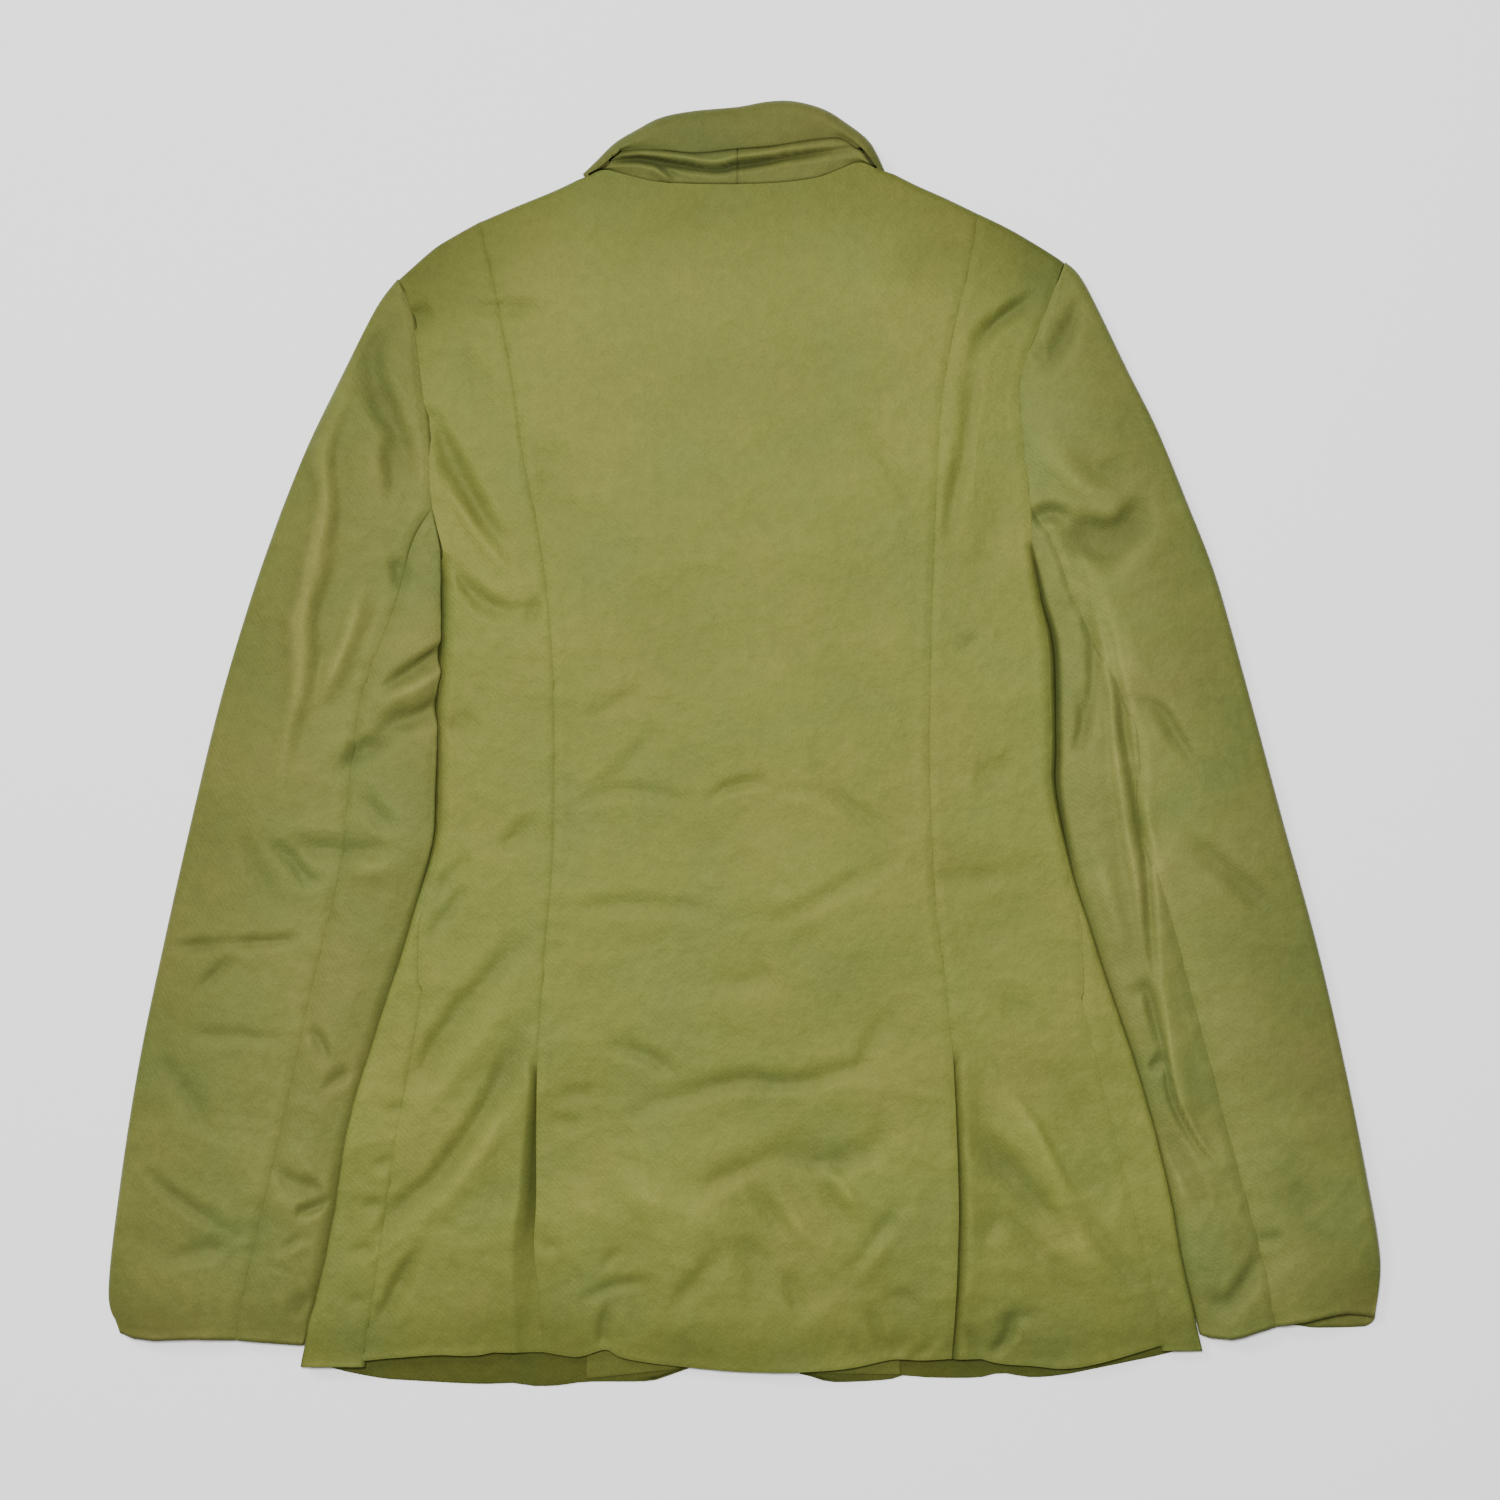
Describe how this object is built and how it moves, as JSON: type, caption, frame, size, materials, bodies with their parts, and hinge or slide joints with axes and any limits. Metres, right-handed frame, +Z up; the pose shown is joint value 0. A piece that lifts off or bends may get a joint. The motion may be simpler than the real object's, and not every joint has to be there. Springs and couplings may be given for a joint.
{
  "type": "tailored jacket",
  "caption": "Tailored olive cloth jacket laid flat face down, with a shaped back in panels, side vents at the hem, set-in sleeves and a turned collar.",
  "frame": {"origin": "centre of the garment's box, on the surface that it lies on", "axes": "+X to the wearer's right, +Y towards the collar, +Z up out of the back"},
  "size_m": [0.764, 0.7714, 0.0099],
  "materials": {
    "jacket_cloth": "soft olive cotton satin, garment dyed, slightly mottled",
    "facing_cloth": "the same olive cloth, seen from inside at the hem"
  },
  "bodies": {
    "root": {"back_centre": "jacket_cloth", "side_back_left": "jacket_cloth", "side_back_right": "jacket_cloth", "front_left": "jacket_cloth", "front_right": "jacket_cloth", "top_sleeve_left": "jacket_cloth", "top_sleeve_right": "jacket_cloth", "under_sleeve_left": "jacket_cloth", "under_sleeve_right": "jacket_cloth", "collar_fall": "jacket_cloth", "collar_stand_left": "jacket_cloth", "collar_stand_right": "jacket_cloth", "lapel_left": "jacket_cloth", "lapel_right": "jacket_cloth", "facing_left": "facing_cloth", "facing_right": "facing_cloth"}
  },
  "joints": []
}
